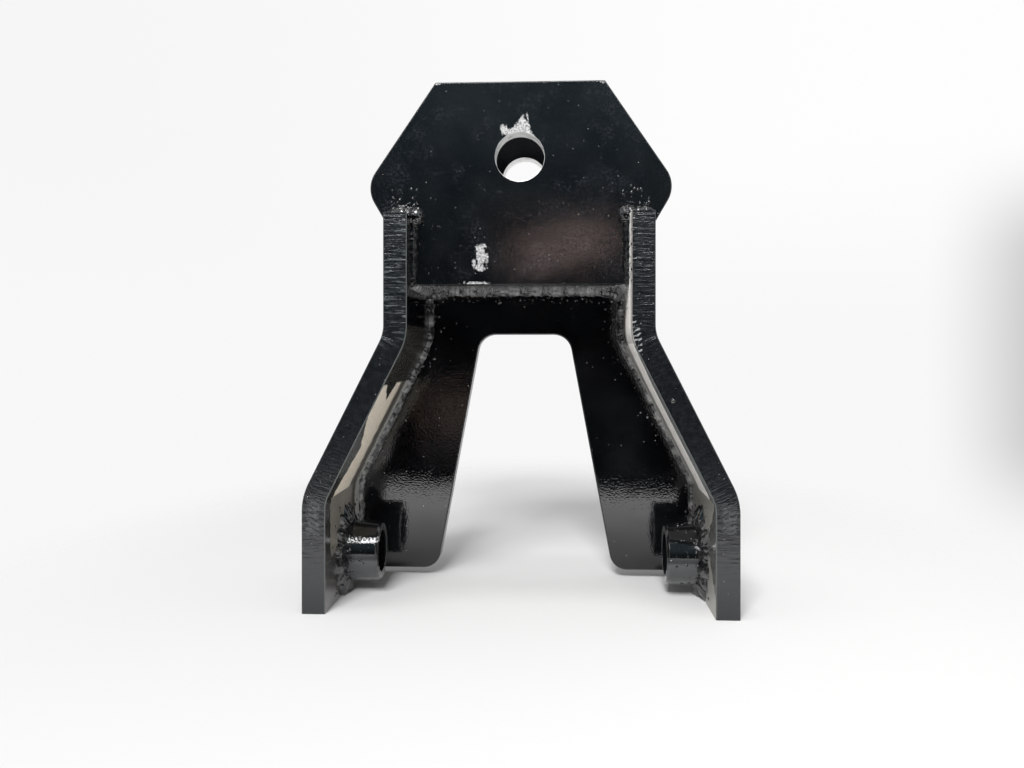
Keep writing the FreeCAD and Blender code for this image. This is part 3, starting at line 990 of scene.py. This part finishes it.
def paper(name):
    """White paper that fades, far from the hitch, into the white of the surroundings. Mirrored in the
    black enamel it glows brightest towards its front, a painted pool of light in place of the lamps'
    light."""
    material, tree, place = empty_material(name)
    flattened = stretched(tree, place, (1.7, 1.0, 1.0))
    distance = add(tree, "VectorMath", {0: flattened}, operation="LENGTH").outputs["Value"]
    path = add(tree, "LightPath", {})
    far = ramp(tree, distance, white_from, white_to)
    far = calc(tree, "MULTIPLY", far, seen_rays(tree, path))
    axes = add(tree, "SeparateXYZ", {0: place})
    # Painted shade: the paper is greyer towards the left.
    white = blend(tree, ramp(tree, axes.outputs["X"], -0.30, 0.25), painted_shade_left_white, right_white)
    near_shader = add(tree, "BsdfDiffuse", {"Color": white})
    # Painted light: reflections see the paper glow, brightest towards its front.
    painted_glow_pool = ramp(tree, axes.outputs["Y"], 0.0, -0.36, 0.05, 1.45)
    painted_glow = calc(tree, "MULTIPLY", painted_glow_pool, path.outputs["Is Glossy Ray"])
    painted_glow_shader = add(tree, "Emission", {"Color": (1, 1, 1, 1), "Strength": painted_glow})
    near_sum = add(tree, "AddShader", {0: near_shader.outputs[0], 1: painted_glow_shader.outputs[0]})
    clear = add(tree, "BsdfTransparent", {})
    mixed = add(tree, "MixShader", {0: far, 1: near_sum.outputs[0], 2: clear.outputs[0]})
    add(tree, "OutputMaterial", {"Surface": mixed.outputs[0]})
    return material


def sheet_of_paper(name, side):
    """A sheet that lies behind (side 1) or before (side -1) the front edge of the table."""
    bpy.ops.mesh.primitive_plane_add(size=1.0)
    sheet = shaped((2 * sheet_size, sheet_size, 1.0), (0, side * sheet_size / 2, 0))
    sheet.name = name
    sheet.data.transform(Matrix.Translation(table_corner) @ Matrix.Rotation(table_skew, 4, "Z"))
    sheet.data.materials.append(paper_material)
    return sheet


paper_material = paper("white_paper")
sheet_of_paper("table_top", 1)
apron = sheet_of_paper("table_apron", -1)
apron.visible_glossy = False


# Cards. Panels that only reflections see: the dark room behind the camera, lighter towards its
# ceiling, and the few warm things in it that show in the black paint.
room_depth = -7.0


def card(name, centre, size, turn, foot_colour, head_colour):
    """An upright panel across the view. Its centre is an X, a Z and a distance before the end of the
    room, and its colour changes evenly from its foot to its head."""
    bpy.ops.mesh.primitive_plane_add(size=1.0)
    panel = shaped((size[0], size[1], 1.0))
    panel.name = name
    upright = Matrix.Rotation(math.radians(90), 4, "X") @ Matrix.Rotation(turn, 4, "Z")
    panel.data.transform(Matrix.Translation((centre[0], room_depth + centre[2], centre[1])) @ upright)
    material, tree, place = empty_material(name)
    height = add(tree, "SeparateXYZ", {0: place}).outputs["Z"]
    rise = ramp(tree, height, centre[1] - size[1] / 2, centre[1] + size[1] / 2)
    glow = add(tree, "Emission", {"Color": blend(tree, rise, foot_colour, head_colour), "Strength": 1.0})
    add(tree, "OutputMaterial", {"Surface": glow.outputs[0]})
    panel.data.materials.append(material)
    panel.visible_camera = False
    panel.visible_diffuse = False
    panel.visible_shadow = False
    return panel


black = (0.0, 0.0, 0.0, 1)
wall_blue = (0.21, 0.31, 0.38, 1)
lamp_warm = (2.05, 1.51, 1.37, 1)
wall_warm = (0.13, 0.113, 0.110, 1)
card("dark_room", (0, -1.0, -0.1), (24, 8), 0, black, black)
card("room_wall", (0, 1.9, 0), (24, 2.6), 0, (0.01, 0.015, 0.02, 1), wall_blue)
card("room_ceiling", (0, 6.1, 0), (24, 5.8), 0, wall_blue, (0.30, 0.40, 0.46, 1))
card("warm_band", (0.06, 0.99, 0.1), (0.84, 0.22), math.radians(13.6), lamp_warm, lamp_warm)
card("warm_wall", (-0.15, 1.25, 0.05), (0.84, 0.26), 0, wall_warm, wall_warm)
card("warm_post", (-0.86, -0.45, 0.1), (0.52, 0.50), 0, (0.14, 0.11, 0.10, 1), (0.62, 0.43, 0.34, 1))
card("grey_post", (0.25, -0.05, 0.1), (0.14, 0.26), 0, (0.12, 0.11, 0.11, 1), (0.15, 0.14, 0.14, 1))


# Lamps. One high in front on the left that throws the shadows between the legs, a lower one in front
# that throws the long faint shadow, and one overhead. The surroundings fill the rest.
def area_lamp(name, aim, way, distance, size, power):
    """A square lamp that hangs a distance away from the point it lights, in the direction given."""
    lamp = bpy.data.lights.new(name, "AREA")
    lamp.shape = "SQUARE"
    lamp.size = size
    lamp.energy = power
    holder = bpy.data.objects.new(name, lamp)
    bpy.context.scene.collection.objects.link(holder)
    holder.location = Vector(aim) + Vector(way).normalized() * distance
    holder.rotation_euler = Vector(way).to_track_quat("Z", "Y").to_euler()
    return holder


area_lamp("key", (0, 0, 0.1), (-0.28, -1.0, 1.0), 5.5, 1.20, 158)
area_lamp("front", (0, 0, 0.1), (-0.03, -0.82, 0.539), 5.5, 0.90, 149)
area_lamp("overhead", (0, 0, 0.03), (-0.05, -0.16, 0.98), 1.9, 0.40, 6)


# Surroundings. White paper all round, a little greyer towards the left and low down, with a soft band
# of shade far out on the right. It is seen at its own white and lights the hitch with less.
horizon_white = 0.935
wall_whites = (0.92, 0.985)
shade_depth = 0.53
fill_light = 0.42

world = bpy.data.worlds.new("surroundings")
bpy.context.scene.world = world
world.use_nodes = True
sky = world.node_tree
sky.nodes.clear()
direction = add(sky, "TexCoord", {}).outputs["Generated"]
axes = add(sky, "SeparateXYZ", {0: direction})
rightward, upward = axes.outputs["X"], axes.outputs["Z"]
wall = ramp(sky, rightward, -0.5, 0.3, *wall_whites)
paper_light = add(sky, "Mix", {0: ramp(sky, upward, 0.0, 0.22), 2: horizon_white, 3: wall}).outputs[0]
shade = ramp(sky, rightward, 0.355, 0.50, 0.0, shade_depth)
shade = calc(sky, "MULTIPLY", shade, ramp(sky, rightward, 0.62, 0.45))
shade = calc(sky, "MULTIPLY", shade, ramp(sky, calc(sky, "ABSOLUTE", upward), 0.20, 0.08))
paper_light = calc(sky, "MULTIPLY", paper_light, calc(sky, "SUBTRACT", 1.0, shade))
seen = seen_rays(sky, add(sky, "LightPath", {}))
strength = add(sky, "Mix", {0: seen, 2: fill_light, 3: paper_light}).outputs[0]
background = add(sky, "Background", {"Color": (1, 1, 1, 1), "Strength": strength})
add(sky, "OutputWorld", {"Surface": background.outputs[0]})


# Camera. Level, a little to the right of the middle and turned slightly left, as the photograph
# was taken.
lens_mm = 32.353
lens_shift = -0.03603
view_turn = 0.0532
eye_place = (0.02790, -0.66635, 0.17688)

camera_data = bpy.data.cameras.new("camera")
camera_data.lens = lens_mm
camera_data.sensor_width = 36
camera_data.sensor_fit = "HORIZONTAL"
camera_data.shift_y = lens_shift
camera = bpy.data.objects.new("camera", camera_data)
bpy.context.scene.collection.objects.link(camera)
camera.location = eye_place
camera.rotation_euler = (math.radians(90), 0, view_turn)
bpy.context.scene.camera = camera

bpy.context.scene.view_settings.view_transform = "Standard"
